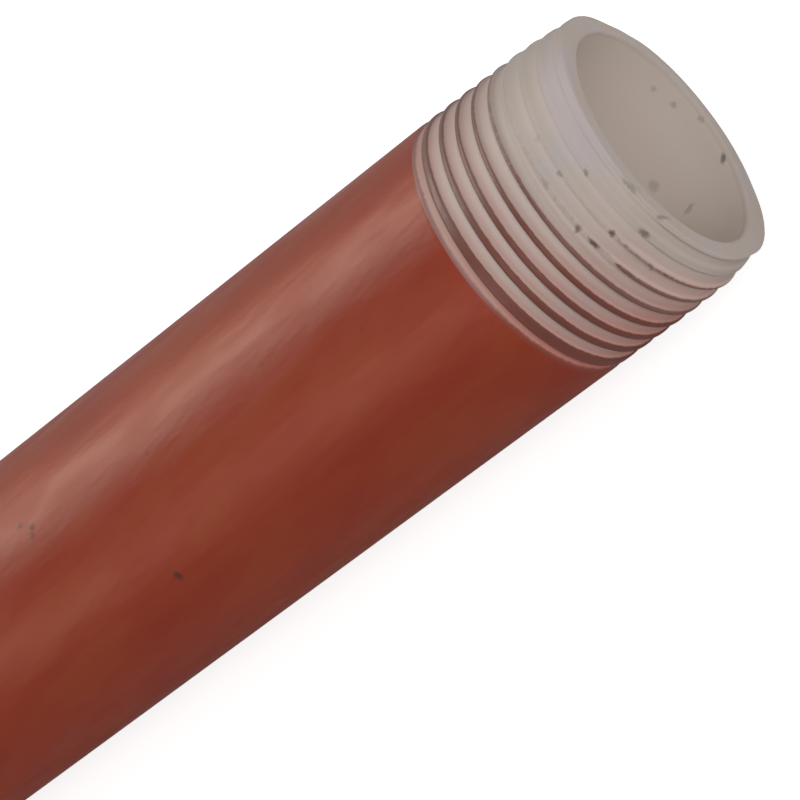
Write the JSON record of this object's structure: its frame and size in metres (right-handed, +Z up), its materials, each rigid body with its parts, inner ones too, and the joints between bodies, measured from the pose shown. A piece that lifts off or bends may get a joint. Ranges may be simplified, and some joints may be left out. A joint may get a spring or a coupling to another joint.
{
  "type": "threaded plastic pipe",
  "caption": "Straight round plastic pipe with a coloured skin over a pale wall, and a taper thread cut on one end to screw into a fitting.",
  "frame": {"origin": "on the floor under the middle of the pipe's length and under its centre line", "axes": "+X along the pipe towards the threaded end, +Z up"},
  "size_m": [1, 0.0334, 0.0334],
  "materials": {
    "pipe": "satin brick-red skin over a pale grey-beige wall, which shows in the bore, on the end faces and in the thread"
  },
  "bodies": {
    "root": {"pipe": "pipe"}
  },
  "joints": []
}
